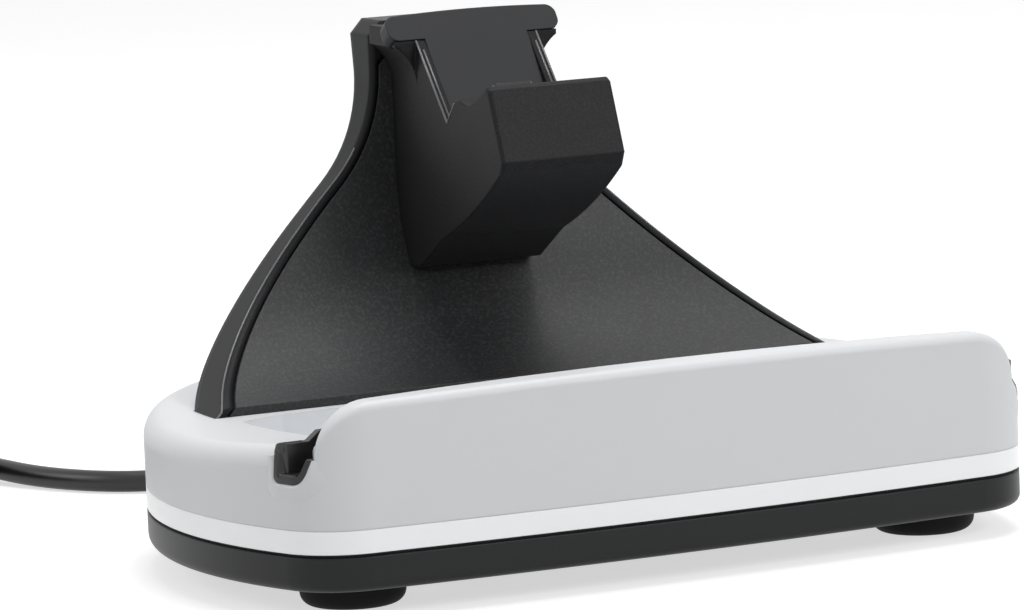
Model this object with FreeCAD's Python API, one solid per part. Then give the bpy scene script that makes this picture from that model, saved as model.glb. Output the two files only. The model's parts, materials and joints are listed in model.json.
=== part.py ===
import FreeCAD, Part
import math
import os

os.makedirs("parts", exist_ok=True)
Vector = FreeCAD.Vector

# A charging stand for a handheld console, in millimetres, +X right, +Z up.
# Depths run backwards from the front face of the base. The finished pieces are
# moved forwards at the end, so that the origin lies under the middle of the stand.

# Base, seen from above
base_width = 155.6
base_depth = 109.0
front_bow_radius = 800.0
front_corner_radius = 14.0
side_bow_radius = 85.0
widest_depth = 42.0
rear_corner_radius = 50.0

# Base, bottom to top
foot_height = 4.7
cover_side_height = 6.1
shadow_gap = 0.6
ring_height = 4.0
plateau_front_height = 31.3
plateau_hollow_depth = 66.0
plateau_hollow_height = 27.6
plateau_rear_height = 30.3
plateau_edge_radius = 4.0
cover_wall = 2.0
cover_edge_radius = 1.8
ring_thickness = 2.6
shell_wall = 2.4

# Rubber feet
foot_diameter = 18.5
foot_edge_radius = 2.4
foot_recess = 0.8
front_foot_inset = 21.3
front_foot_depth = 19.2
rear_foot_inset = 35.8
rear_foot_setback = 19.0

# Front wall, channel and tray
wall_thickness = 7.0
wall_height = 38.2
wall_crown_radius = 1730.0
wall_end_radius = 10.0
wall_end_inset = 9.5
wall_toe_run = 2.8
wall_toe_inset = 0.9
wall_front_radius = 1.5
wall_back_radius = 0.5
channel_width = 6.0
channel_floor = 22.6
notch_bevel = 1.2
liner_wall = 1.8
liner_end_inset = 0.8
liner_drop = 5.4
liner_clearance = 0.05
liner_low_height = 30.2
liner_high_height = 31.8
liner_step_inset = 10.8
liner_step_run = 2.0
rib_thickness = 2.0
tray_inset = 17.3
tray_rear_depth = 58.5
tray_corner_run = 9.5
tray_corner_drop = 3.5
tray_floor = 21.6

# Upright, seen from the side
upright_face_depth = 90.0
upright_bend_start = 66.0
upper_bend_radius = 36.0
upper_bend_angle = 41.0
lower_bend_radius = 46.0
upright_foot_depth = 61.6
upright_back_lean = 6.9
upright_back_mid_depth = 94.6
upright_back_mid_height = 58.0
upright_back_radius = 37.8
upright_height = 93.0
neck_back_depth = 72.0

# Upright, seen from the front
flank_foot_inset = 17.2
flank_foot_height = 29.4
flank_angle = 45.9
head_half_width = 16.4
flank_curve_radius = 28.5
head_corner = 2.6
rim_width = 1.3
rim_bevel = 0.6
seam_gap = 0.35
panel_thickness = 2.0
panel_height = 87.5
panel_foot_height = 26.4
rear_cover_wall = 2.0
panel_ledge = 2.2
slot_clearance = 0.2
flange_thickness = 2.2
flange_margin = 6.0
flange_clearance = 0.2
rear_ceiling = 24.8

# Cradle
cradle_half_width = 12.3
lip_bottom = (44.4, 70.2)
lip_under = (45.3, 68.3)
lip_top = (49.1, 82.8)
lip_crest = (50.2, 83.4)
lip_slope_foot = (56.1, 79.9)
dip = (58.0, 79.3)
ridge = (61.4, 80.1)
ridge_rear = (63.6, 79.5)
groove_foot = (67.0, 75.6)
cradle_top_front = (84.4, 92.4)
belly_middle = (55.6, 61.4)
belly_front = (70.8, 54.2)
belly_rear = (81.1, 48.0)
cradle_flare_start = 81.5
cradle_flare_radius = 9.0
cradle_edge_radius = 0.7

# Backrest plate and charging plug, along the leaning plane of the console's back
lean_angle = 34.6
plate_foot = (70.1, 77.4)
plate_length = 21.1
plate_thickness = 3.0
plate_stem_half_width = 10.35
plate_bar_half_width = 17.3
plate_bar_height = 5.6
plate_corner_radius = 2.0
plate_crown = 0.6
plate_reveal = 0.2
plate_clearance = 0.1
plug_offset = 6.5
seat_drop = 5.9
seat_front = 13.0
pocket_half_width = 10.4
plug_width = 8.3
plug_thickness = 2.5
plug_reach = 6.6
plug_shell_wall = 0.3
plug_core_thickness = 0.7
plug_core_width = 6.6
holder_width = 12.0
holder_thickness = 6.0
holder_height = 5.0
holder_clearance = 0.1
plug_board_size = (14.0, 9.0, 1.2)
chamber_length = 7.0

# Boards and wiring
post_diameter = 6.0
board_height = 10.2
board_size = (64.0, 34.0, 1.6)
board_depth = 41.0
board_hole_inset = 4.0
emitter_size = (3.4, 1.6, 1.8)
emitter_count = 6
chip_size = (9.0, 9.0, 1.2)
chip_place = (-14.0, -4.0)
capacitor_diameter = 5.0
capacitor_height = 6.0
capacitor_places = ((14.0, -6.0), (14.0, 2.0))
socket_size = (11.0, 5.0, 4.2)
ribbon_width = 8.0
ribbon_thickness = 0.8
ribbon_gap = 0.3
ribbon_turn_height = 66.5

# Screws
screw_diameter = 2.4
screw_head_diameter = 4.6
screw_head_height = 1.5
screw_fit = 0.05
head_fit = 0.1
front_screw_inset = 35.8
front_screw_depth = 24.0
rear_screw_inset = 47.8
rear_screw_setback = 10.0
boss_diameter = 6.4
stand_screw_inset = 12.6
stand_screw_inner_x = 16.0
stand_screw_reach = 4.2
screw_end_cover = 1.0
cradle_screw_x = 9.0
cradle_screw_heights = (70.0, 79.5)
cradle_screw_reach = 7.0

# Supply cord
cord_diameter = 4.2
cord_height = 8.05
cord_exit_x = -16.0
grommet_neck_diameter = 5.2
grommet_plate = (8.0, 1.2, 3.9)
grommet_collar_diameter = 6.2
grommet_collar = 1.4
grommet_length = 7.0
grommet_tip_diameter = 5.0
coil_centre = (-95.5, 186.5)
coil_middle_radius = 25.2
coil_width = 21.0
coil_height = 8.4
coil_edge_radius = 2.1
tie_width = 9.0
tie_thickness = 0.8
grip_size = (15.6, 27.0, 8.0)
grip_edge_radius = 1.6
plug_shell_size = (12.0, 12.0, 4.5)
supply_shell_wall = 0.35
supply_tongue_thickness = 1.9

half_width = base_width / 2
front_foot_x = half_width - front_foot_inset
rear_foot_x = half_width - rear_foot_inset
rear_foot_depth = base_depth - rear_foot_setback
wall_end_x = half_width - wall_end_inset
liner_step_x = half_width - liner_step_inset
tray_half_width = half_width - tray_inset
flank_foot_half_width = half_width - flank_foot_inset
stand_screw_x = flank_foot_half_width - stand_screw_inset
front_screw_x = half_width - front_screw_inset
rear_screw_x = half_width - rear_screw_inset
rear_screw_depth = base_depth - rear_screw_setback
cover_floor = foot_height + cover_wall
cover_rim = foot_height + cover_side_height
ring_base = cover_rim + shadow_gap
shell_base = ring_base + ring_height
channel_rear = wall_thickness + channel_width
lean = math.radians(lean_angle)
board_drop = seat_drop + holder_height
chamber_depth = board_drop + chamber_length
upright_rear = upright_back_mid_depth + math.tan(math.radians(upright_back_lean)) * (
    upright_height - upright_back_mid_height)
overall_depth = max(base_depth, upright_rear)
far = 200.0
bend_share = 0.45
reach_out = 50.0
tiny = 0.01


# Small helpers
def on_side(point, x=0.0):
    return Vector(x, point[0], point[1])


def on_front(point, y=0.0):
    return Vector(point[0], y, point[1])


def on_plan(point, z=0.0):
    return Vector(point[0], point[1], z)


def chain(start, steps, place):
    """Join straight steps (end,) and arc steps (middle, end) into one closed face."""
    edges = []
    here = start
    for step in list(steps) + [(start,)]:
        end = step[-1]
        if math.dist(here, end) > 1e-6:
            if len(step) == 1:
                edges.append(Part.LineSegment(place(here), place(end)).toShape())
            else:
                edges.append(Part.Arc(place(here), place(step[0]), place(end)).toShape())
        here = end
    return Part.Face(Part.Wire(edges))


def across(face_points, steps, half):
    """Extrude a side outline symmetrically to both sides."""
    face = chain(face_points, steps, lambda p: on_side(p, -half))
    return face.extrude(Vector(2 * half, 0, 0))


def through(face_points, steps, front=-far, back=far):
    """Extrude a front outline from front to back."""
    face = chain(face_points, steps, lambda p: on_front(p, front))
    return face.extrude(Vector(0, back - front, 0))


def block(x0, x1, y0, y1, z0, z1):
    return Part.makeBox(x1 - x0, y1 - y0, z1 - z0, Vector(x0, y0, z0))


def post(x, y, z0, z1, diameter):
    return Part.makeCylinder(diameter / 2, z1 - z0, Vector(x, y, z0))


def on_circle(centre, radius, towards):
    reach = math.dist(centre, towards)
    return (centre[0] + (towards[0] - centre[0]) * radius / reach,
            centre[1] + (towards[1] - centre[1]) * radius / reach)


def middle_of_arc(centre, radius, start, end):
    return on_circle(centre, radius, ((start[0] + end[0]) / 2, (start[1] + end[1]) / 2))


def flip(point):
    return (-point[0], point[1])


def both_sides(points):
    return [(sign * x, y) for x, y in points for sign in (-1, 1)]


def joined(shapes):
    return shapes[0].multiFuse(shapes[1:]).removeSplitter() if len(shapes) > 1 else shapes[0]


def leaning(s, n):
    """A point s along the leaning back plane and n in front of it."""
    return (plate_foot[0] + s * math.sin(lean) - n * math.cos(lean),
            plate_foot[1] + s * math.cos(lean) + n * math.sin(lean))


pieces = {}


# Base
def circles_meet(a, radius_a, b, radius_b):
    """The meeting point of two circles to the left of the way from a to b."""
    apart = math.dist(a, b)
    along = (radius_a ** 2 - radius_b ** 2 + apart ** 2) / (2 * apart)
    aside = math.sqrt(radius_a ** 2 - along ** 2)
    ux = (b[0] - a[0]) / apart
    uy = (b[1] - a[1]) / apart
    return (a[0] + ux * along - uy * aside, a[1] + uy * along + ux * aside)


def base_slab(inset, low, high):
    """The base's outline, drawn in by an inset, as a slab between two heights."""
    front_centre = (0.0, front_bow_radius)
    side_centre = (half_width - side_bow_radius, widest_depth)
    corner = circles_meet(front_centre, front_bow_radius - front_corner_radius,
                          side_centre, side_bow_radius - front_corner_radius)
    rear_reach = side_bow_radius - rear_corner_radius
    rear_depth = base_depth - rear_corner_radius
    rear = (side_centre[0] + math.sqrt(rear_reach ** 2 - (rear_depth - widest_depth) ** 2), rear_depth)
    corner_radius = front_corner_radius - inset
    side_radius = side_bow_radius - inset
    rear_radius = rear_corner_radius - inset
    front_end = on_circle(front_centre, front_bow_radius - inset, corner)
    side_start = on_circle(side_centre, side_radius, corner)
    side_end = on_circle(side_centre, side_radius, rear)
    rear_end = (rear[0], base_depth - inset)
    corner_middle = middle_of_arc(corner, corner_radius, front_end, side_start)
    side_middle = middle_of_arc(side_centre, side_radius, side_start, side_end)
    rear_middle = middle_of_arc(rear, rear_radius, side_end, rear_end)
    steps = [((0.0, inset), front_end), (corner_middle, side_start), (side_middle, side_end),
             (rear_middle, rear_end), (flip(rear_end),), (flip(rear_middle), flip(side_end)),
             (flip(side_middle), flip(side_start)), (flip(corner_middle), flip(front_end))]
    face = chain(flip(front_end), steps, lambda p: on_plan(p, low))
    return face.extrude(Vector(0, 0, high - low))


def edges_at(shape, test):
    return [edge for edge in shape.Edges if all(test(v.Point) for v in edge.Vertexes)]


def near(value, target):
    return abs(value - target) < tiny


feet = {
    "foot_front_left": (-front_foot_x, front_foot_depth),
    "foot_front_right": (front_foot_x, front_foot_depth),
    "foot_rear_left": (-rear_foot_x, rear_foot_depth),
    "foot_rear_right": (rear_foot_x, rear_foot_depth),
}
base_screws = both_sides([(front_screw_x, front_screw_depth), (rear_screw_x, rear_screw_depth)])
board_posts = [(x, board_depth + y) for x, y in both_sides([
    (board_size[0] / 2 - board_hole_inset, board_size[1] / 2 - board_hole_inset),
    (board_size[0] / 2 - board_hole_inset, board_hole_inset - board_size[1] / 2)])]
screw_hole = screw_diameter + 2 * screw_fit
head_hole = screw_head_diameter + 2 * head_fit
head_seat = foot_height + screw_head_height + screw_fit
boss_base = head_seat + cover_wall
front_ceiling = tray_floor - shell_wall
screw_end = front_ceiling - screw_end_cover


def screw(seat, direction, reach):
    """A pan-head screw whose head sits below its seat and whose shank runs along direction."""
    head = Part.makeCylinder(screw_head_diameter / 2, screw_head_height, seat - direction * screw_head_height,
                             direction)
    shank = Part.makeCylinder(screw_diameter / 2, reach, seat, direction)
    return head.fuse(shank).removeSplitter()


def make_feet():
    for name, place in feet.items():
        foot = post(place[0], place[1], 0, foot_height + foot_recess, foot_diameter)
        pieces[name] = foot.makeFillet(foot_edge_radius, edges_at(foot, lambda p: near(p.z, 0)))


def make_bottom_cover():
    cover = base_slab(0, foot_height, cover_rim)
    cover = cover.makeFillet(cover_edge_radius, edges_at(cover, lambda p: near(p.z, foot_height)))
    cover = cover.fuse(base_slab(cover_wall / 2, cover_floor, ring_base))
    cover = cover.cut(base_slab(cover_wall, cover_floor, far))
    posts = [post(x, y, cover_floor, board_height, post_diameter) for x, y in board_posts]
    posts += [post(x, y, cover_floor, boss_base, boss_diameter + cover_wall) for x, y in base_screws]
    cover = joined([cover] + posts)
    holes = [post(x, y, cover_floor, far, screw_hole) for x, y in board_posts]
    holes += [post(x, y, 0, far, screw_hole) for x, y in base_screws]
    holes += [post(x, y, 0, head_seat, head_hole) for x, y in base_screws]
    holes += [post(x, y, 0, foot_height + foot_recess, foot_diameter) for x, y in feet.values()]
    exit_point = Vector(cord_exit_x, base_depth - cover_wall, cord_height)
    holes.append(Part.makeCylinder(grommet_neck_diameter / 2, far, exit_point, Vector(0, 1, 0)))
    pieces["bottom_cover"] = cover.cut(Part.makeCompound(holes))


def make_light_ring():
    ring = base_slab(0, ring_base, shell_base)
    pieces["light_ring"] = ring.cut(base_slab(ring_thickness, ring_base, shell_base))


def plateau_body():
    """The base behind the channel, with its hollow top and rounded shoulders."""
    front = (0.0, plateau_front_height)
    rear = (base_depth, plateau_rear_height)
    hollow = (plateau_hollow_depth, plateau_hollow_height)
    top = across((0.0, shell_base), [(front,), (hollow, rear), ((base_depth, shell_base),)], far)
    body = base_slab(0, shell_base, far).common(top)
    shoulder = edges_at(body, lambda p: p.z > shell_base + plateau_edge_radius)
    body = body.makeFillet(plateau_edge_radius, shoulder)
    return body.common(block(-far, far, channel_rear, far, 0, far))


def side_x(depth):
    """Half the base's width at a depth along its bowed sides."""
    return half_width - side_bow_radius + math.sqrt(side_bow_radius ** 2 - (depth - widest_depth) ** 2)


def notch_bevels():
    """Wedges that bevel the ends of the channel where it opens through the sides."""
    wedges = []
    edge = side_x(channel_rear) - notch_bevel
    out = edge + reach_out
    for sign in (-1, 1):
        rear = chain((sign * edge, channel_rear), [((sign * out, channel_rear),),
                                                   ((sign * out, channel_rear + reach_out),)],
                     lambda p: on_plan(p, channel_floor - notch_bevel))
        wedges.append(rear.extrude(Vector(0, 0, far)))
        floor = chain((sign * edge, channel_floor), [((sign * out, channel_floor),),
                                                     ((sign * out, channel_floor - reach_out),)],
                      lambda p: on_front(p, wall_thickness))
        wedges.append(floor.extrude(Vector(0, channel_width + notch_bevel, 0)))
    return wedges


def long_edges(wall, top, front, back):
    """The wall's crest edges whose nearest point lies between two depths."""
    boxes = [(edge, edge.BoundBox) for edge in wall.Edges]
    return [edge for edge, box in boxes if box.ZMax > top[1] - wall_back_radius and box.XLength > top[0]
            and front - tiny < box.YMin < back]


def front_wall():
    """The raised front wall, a low crown between rounded ends that flare into toes."""
    crown_centre = (0.0, wall_height - wall_crown_radius)
    end_x = wall_end_x - wall_end_radius
    rise = math.sqrt((wall_crown_radius - wall_end_radius) ** 2 - end_x ** 2)
    end_centre = (end_x, crown_centre[1] + rise)
    side = (wall_end_x, end_centre[1])
    heel = (wall_end_x, shell_base)
    top = on_circle(crown_centre, wall_crown_radius, end_centre)
    bend = middle_of_arc(end_centre, wall_end_radius, side, top)
    outline = through(flip(heel), [(flip(side),), (flip(bend), flip(top)), ((0, wall_height), top),
                                   (bend, side), (heel,)])
    behind = block(-far, far, -far, wall_thickness, 0, far)
    wall = base_slab(0, shell_base, far).common(behind).common(outline)
    wall = wall.makeFillet(wall_back_radius, long_edges(wall, top, wall_thickness, far))
    wall = wall.makeFillet(wall_front_radius, long_edges(wall, top, -far, wall_thickness / 2))
    toe_top = on_circle(end_centre, wall_end_radius, (wall_end_x, end_centre[1] + wall_toe_run))
    toe = (wall_end_x + wall_toe_run, channel_floor)
    toes = through(flip(toe), [(flip(toe_top),), (toe_top,), (toe,)])
    return wall.fuse(base_slab(wall_toe_inset, channel_floor, far).common(behind).common(toes))


def tray_space():
    inner = tray_half_width
    front = channel_rear + rib_thickness
    corner = (inner - tray_corner_run, tray_rear_depth)
    side = (inner, tray_rear_depth - tray_corner_drop)
    face = chain((-inner, front), [((inner, front),), (side,), (corner,), (flip(corner),), (flip(side),)],
                 lambda p: on_plan(p, tray_floor))
    return face.extrude(Vector(0, 0, far))


def make_base_shell():
    lower = base_slab(0, shell_base, channel_floor)
    shell = joined([lower, plateau_body(), front_wall()])
    rear_start = tray_rear_depth + rib_thickness
    room = base_slab(shell_wall, 0, front_ceiling)
    rear_room = base_slab(2 * shell_wall, 0, rear_ceiling).common(block(-far, far, rear_start, far, 0, far))
    hollows = [room.fuse(rear_room), tray_space(), upright(-slot_clearance)]
    shell = shell.cut(Part.makeCompound(hollows))
    for wedge in notch_bevels():
        shell = shell.cut(wedge)
    bosses = []
    for x, y in base_screws:
        ceiling = rear_ceiling if y > rear_start else front_ceiling
        bosses.append(post(x, y, boss_base, ceiling, boss_diameter))
    shell = joined([shell] + bosses)
    holes = [post(x, y, 0, screw_end, screw_hole) for x, y in base_screws]
    holes += [post(x, y, 0, rear_ceiling - flange_thickness + stand_screw_reach, screw_hole)
              for x, y in stand_screws]
    pieces["base_shell"] = shell.cut(Part.makeCompound(holes))


def make_channel_liner():
    low = channel_floor
    front = wall_thickness + liner_clearance
    rear = channel_rear - liner_clearance
    body = base_slab(liner_end_inset, low, far).common(block(-far, far, front, rear, low, far))
    trough = block(-far, far, front + liner_wall, rear - liner_wall, low + liner_wall, far)
    step = liner_step_x - liner_step_run
    rear_line = [((-half_width, liner_low_height),), ((-liner_step_x, liner_low_height),),
                 ((-step, liner_high_height),), ((step, liner_high_height),),
                 ((liner_step_x, liner_low_height),), ((half_width, liner_low_height),), ((half_width, low),)]
    rear_height = through((-half_width, low), rear_line, front + liner_wall, far)
    front_height = wall_height - liner_drop
    front_end = wall_end_x - wall_end_radius / 2
    front_shape = block(-front_end, front_end, 0, front + liner_wall, low, front_height)
    floor_shape = block(-far, far, 0, far, low, low + liner_wall)
    shape = rear_height.multiFuse([front_shape, floor_shape])
    pieces["channel_liner"] = body.cut(trough).common(shape)


# Upright
def on_arc(centre, radius, angle):
    return (centre[0] + radius * math.cos(angle), centre[1] - radius * math.sin(angle))


def face_curve(offset, low, high):
    """The hollow front face, moved back by an offset, as chain steps from high to low."""
    turn = math.radians(upper_bend_angle)
    upper = (upright_face_depth - upper_bend_radius, upright_bend_start)
    lower = on_arc(upper, upper_bend_radius - lower_bend_radius, turn)
    upper_radius = upper_bend_radius + offset
    lower_radius = lower_bend_radius + offset
    end_turn = math.acos((upright_foot_depth + offset - lower[0]) / lower_radius)
    start = (upright_face_depth + offset, high)
    steps = [((upright_face_depth + offset, upright_bend_start),),
             (on_arc(upper, upper_radius, turn / 2), on_arc(upper, upper_radius, turn)),
             (on_arc(lower, lower_radius, (turn + end_turn) / 2), on_arc(lower, lower_radius, end_turn)),
             ((upright_foot_depth + offset, low),)]
    return start, steps


def back_curve(offset, low, high):
    """The rear face, moved forwards by an offset, as chain steps from low to high."""
    tilt = math.radians(upright_back_lean)
    middle = (upright_back_mid_depth, upright_back_mid_height)
    centre = (middle[0] - upright_back_radius * math.cos(tilt),
              middle[1] + upright_back_radius * math.sin(tilt))
    radius = upright_back_radius - offset
    end_turn = math.acos((neck_back_depth - offset - centre[0]) / radius)
    top = middle[0] - offset / math.cos(tilt) + (high - middle[1]) * math.tan(tilt)
    return [((neck_back_depth - offset, low),), (on_arc(centre, radius, end_turn),),
            (on_arc(centre, radius, (tilt + end_turn) / 2), on_arc(centre, radius, tilt)), ((top, high),)]


def upright_outline(inset, low, high, corner=head_corner):
    """The upright seen from the front: straight flanks that sweep up into a narrow head."""
    tilt = math.radians(flank_angle)
    centre_x = head_half_width + flank_curve_radius
    run = (centre_x - flank_foot_half_width) * math.cos(tilt)
    centre = (centre_x, flank_foot_height + (flank_curve_radius - run) / math.sin(tilt))
    radius = flank_curve_radius + inset
    flank_top = (centre[0] - radius * math.cos(tilt), centre[1] - radius * math.sin(tilt))
    curve_top = (centre[0] - radius, centre[1])
    bend = (centre[0] - radius * math.cos(tilt / 2), centre[1] - radius * math.sin(tilt / 2))
    foot_x = flank_foot_half_width + (flank_foot_height - panel_foot_height) * math.tan(tilt)
    foot = (foot_x - inset / math.cos(tilt), panel_foot_height)
    cheek = (curve_top[0], high - corner)
    crest = (curve_top[0] - corner, high)
    right = [(foot,), (flank_top,), (bend, curve_top), (cheek,), (crest,)]
    left = [(flip(crest),), (flip(cheek),), (flip(curve_top),), (flip(bend), flip(flank_top)), (flip(foot),)]
    return through((-foot[0], low), [((foot[0], low),)] + right + left)


def between(front_offset, back_offset, inset, low, high):
    """Part of the upright between a front offset, a back offset and an inset outline."""
    start, steps = face_curve(front_offset, low, high)
    side = across(start, steps + back_curve(back_offset, low, high), far)
    return side.common(upright_outline(inset, low, high))


def face_layer(front_offset, back_offset, inset, low, high):
    """A layer of the upright between two offsets of its front face."""
    start, steps = face_curve(front_offset, low, high)
    rear_start, rear_steps = face_curve(back_offset, low, high)
    points = [rear_start] + [step[-1] for step in rear_steps]
    back = [(points[-1],)]
    for index in range(len(rear_steps) - 1, -1, -1):
        back.append(rear_steps[index][:-1] + (points[index],))
    return across(start, steps + back, far).common(upright_outline(inset, low, high))


def upright(grow):
    return between(grow, grow, grow, rear_ceiling, upright_height - grow)


flange_front = tray_rear_depth + rib_thickness + flange_clearance
flange_rear = neck_back_depth + flange_margin
stand_screws = both_sides([(stand_screw_x, flange_rear - flange_margin / 2),
                           (stand_screw_inner_x, flange_rear - flange_margin / 2)])
cradle_screws = both_sides([(cradle_screw_x, height) for height in cradle_screw_heights])
ribbon_front = panel_thickness + ribbon_gap
ribbon_slot = ribbon_width / 2 + 2 * ribbon_gap


def face_holes(depth, reach, diameter):
    return [Part.makeCylinder(diameter / 2, reach, Vector(x, depth, z), Vector(0, 1, 0))
            for x, z in cradle_screws]


def make_front_panel():
    inset = rim_width + seam_gap
    panel = face_layer(0, panel_thickness, inset, panel_foot_height, panel_height)
    gap = ribbon_thickness + 2 * ribbon_gap
    holes = face_holes(0, far, screw_hole)
    holes.append(block(-ribbon_slot, ribbon_slot, 0, far, ribbon_turn_height - gap, ribbon_turn_height + gap))
    pieces["stand_front_panel"] = panel.cut(Part.makeCompound(holes))


def make_rear_cover():
    neck_base = rear_ceiling - flange_thickness
    cover = upright(0)
    front_edge = [e for e in cover.Edges if e.BoundBox.ZMin > panel_foot_height and on_rim(e)]
    cover = cover.makeChamfer(rim_bevel, front_edge)
    flange_x = cover.BoundBox.XMax + flange_clearance
    flange = block(-flange_x, flange_x, flange_front, flange_rear, neck_base, rear_ceiling)
    flange = flange.common(base_slab(2 * shell_wall + flange_clearance, neck_base, rear_ceiling))
    cover = joined([cover, flange])
    seat_high = panel_height + seam_gap
    seat = face_layer(-panel_thickness, panel_thickness, rim_width, panel_foot_height, seat_high)
    cavity_low = panel_foot_height + ribbon_gap
    cavity_high = panel_height - panel_ledge
    start, steps = face_curve(panel_thickness, cavity_low, cavity_high)
    side = across(start, steps + back_curve(rear_cover_wall, cavity_low, cavity_high), far)
    cavity = side.common(upright_outline(rim_width + panel_ledge, cavity_low, cavity_high, rim_bevel))
    slot = block(-ribbon_slot, ribbon_slot, upright_foot_depth + panel_thickness,
                 upright_foot_depth + panel_thickness + ribbon_thickness + 2 * ribbon_gap, 0,
                 cavity_low + panel_thickness)
    holes = [post(x, y, 0, rear_ceiling, screw_hole) for x, y in stand_screws]
    pieces["stand_rear_cover"] = cover.cut(Part.makeCompound([seat, cavity, slot] + holes))


def on_rim(edge):
    """Whether an edge of the upright lies where its front face meets its flanks."""
    middle = edge.valueAt((edge.FirstParameter + edge.LastParameter) / 2)
    return abs(middle.x) > head_half_width - head_corner and middle.y < upright_face_depth + tiny and (
        face_depth(middle.z) - middle.y > -tiny)


def face_depth(height):
    """Depth of the upright's front face at a height."""
    turn = math.radians(upper_bend_angle)
    upper = (upright_face_depth - upper_bend_radius, upright_bend_start)
    lower = on_arc(upper, upper_bend_radius - lower_bend_radius, turn)
    if height >= upright_bend_start:
        return upright_face_depth
    if height >= on_arc(upper, upper_bend_radius, turn)[1]:
        return upper[0] + math.sqrt(upper_bend_radius ** 2 - (upper[1] - height) ** 2)
    return lower[0] + math.sqrt(max(0, lower_bend_radius ** 2 - (lower[1] - height) ** 2))


# Cradle, backrest and charging plug
along_lean = Vector(0, math.sin(lean), math.cos(lean))
out_of_lean = Vector(0, -math.cos(lean), math.sin(lean))
bar_seat = plate_length - plate_bar_height - plate_clearance
back_slope_top = leaning(bar_seat, -plate_reveal)


def lean_block(half, s0, s1, n0, n1):
    """A block set square to the leaning plane: along it from s0 to s1, in front of it from n0 to n1."""
    corners = [leaning(s0, n0), leaning(s1, n0), leaning(s1, n1), leaning(s0, n1)]
    return across(corners[0], [(corner,) for corner in corners[1:]], half)


def lean_point(x, s, n):
    return on_side(leaning(s, n), x)


def capsule(width, thickness, s0, s1):
    """A rod of round-ended section about the plug's axis."""
    flat = (width - thickness) / 2
    ends = [(-flat, plug_offset - thickness / 2), (flat, plug_offset - thickness / 2),
            (flat + thickness / 2, plug_offset), (flat, plug_offset + thickness / 2),
            (-flat, plug_offset + thickness / 2), (-flat - thickness / 2, plug_offset)]
    face = chain(ends[0], [(ends[1],), (ends[2], ends[3]), (ends[4],), (ends[5], ends[0])],
                 lambda p: lean_point(p[0], s0, p[1]))
    return face.extrude(along_lean * (s1 - s0))


def behind_face():
    """Everything behind the upright's front face."""
    start, steps = face_curve(0, 0, far)
    return across(start, steps + [((far, 0),), ((far, far),)], far)


def cradle_profile(half):
    steps = [(lip_bottom,), (lip_top,), (lip_crest,), (lip_slope_foot,), (dip,), (ridge,), (ridge_rear,),
             (groove_foot,), (back_slope_top,), (cradle_top_front,), ((far, cradle_top_front[1]),),
             ((far, belly_rear[1]),), (belly_rear,), (belly_front,), (belly_middle, lip_under)]
    return across(lip_under, steps, half)


def make_cradle_body():
    flare_centre = cradle_half_width + cradle_flare_radius
    spread = flare_centre - head_half_width
    flare_top = cradle_flare_start + math.sqrt(cradle_flare_radius ** 2 - spread ** 2)
    bend = middle_of_arc((flare_centre, cradle_flare_start), cradle_flare_radius,
                         (cradle_half_width, cradle_flare_start), (head_half_width, flare_top))
    foot = (cradle_half_width, cradle_flare_start)
    arm = (head_half_width, flare_top)
    flare = through((-cradle_half_width, 0), [((cradle_half_width, 0),), (foot,), (bend, arm),
                                              ((head_half_width, far),), ((-head_half_width, far),),
                                              (flip(arm),), (flip(bend), flip(foot))], back_slope_top[0])
    body = cradle_profile(cradle_half_width)
    corners = [edge for edge in body.Edges if edge.BoundBox.YMax < dip[0] and edge.BoundBox.XLength < 1
               and edge.BoundBox.ZMin < lip_crest[1] - cradle_edge_radius / 2]
    body = body.makeFillet(cradle_edge_radius, corners)
    body = joined([body, cradle_profile(far).common(flare)]).cut(behind_face())
    seat = lean_block(pocket_half_width, -seat_drop, reach_out, 0, seat_front)
    recess = lean_block(pocket_half_width, 0, reach_out, -plate_thickness, 0)
    bar_recess = lean_block(far, bar_seat, reach_out, -plate_thickness, reach_out)
    holder_half = holder_width / 2 + holder_clearance
    room = holder_thickness / 2 + holder_clearance
    holder_room = lean_block(holder_half, -board_drop, 0, plug_offset - room, plug_offset + room)
    room_half = plug_board_size[0] / 2 + holder_clearance
    board_half = plug_board_size[1] / 2 + holder_clearance
    chamber = lean_block(room_half, -chamber_depth, -board_drop, plug_offset - board_half,
                         plug_offset + board_half)
    gap = ribbon_thickness + ribbon_gap
    lead_way = block(-ribbon_slot, ribbon_slot, leaning(-chamber_depth, plug_offset)[0], far,
                     ribbon_turn_height - gap, ribbon_turn_height + gap)
    holes = face_holes(upright_face_depth - cradle_screw_reach - screw_fit, far, screw_hole)
    pieces["cradle_body"] = body.cut(Part.makeCompound(
        [seat.fuse(recess).fuse(bar_recess), holder_room.fuse(chamber).fuse(lead_way)] + holes))


def make_backrest_plate():
    bar_low = plate_length - plate_bar_height
    stem = plate_stem_half_width
    bar = plate_bar_half_width
    end = (bar, plate_length - plate_crown)
    steps = [((stem, bar_low),), ((bar, bar_low),), (end,), ((0, plate_length), flip(end)),
             ((-bar, bar_low),), ((-stem, bar_low),), ((-stem, 0),)]
    face = chain((stem, 0), steps, lambda p: lean_point(p[0], p[1], -plate_thickness))
    plate = face.extrude(out_of_lean * plate_thickness)
    corners = edges_at(plate, lambda p: near(abs(p.x), bar))
    corners = [edge for edge in corners if near(edge.Length, plate_thickness)]
    pieces["backrest_plate"] = plate.makeFillet(plate_corner_radius, corners)


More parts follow.
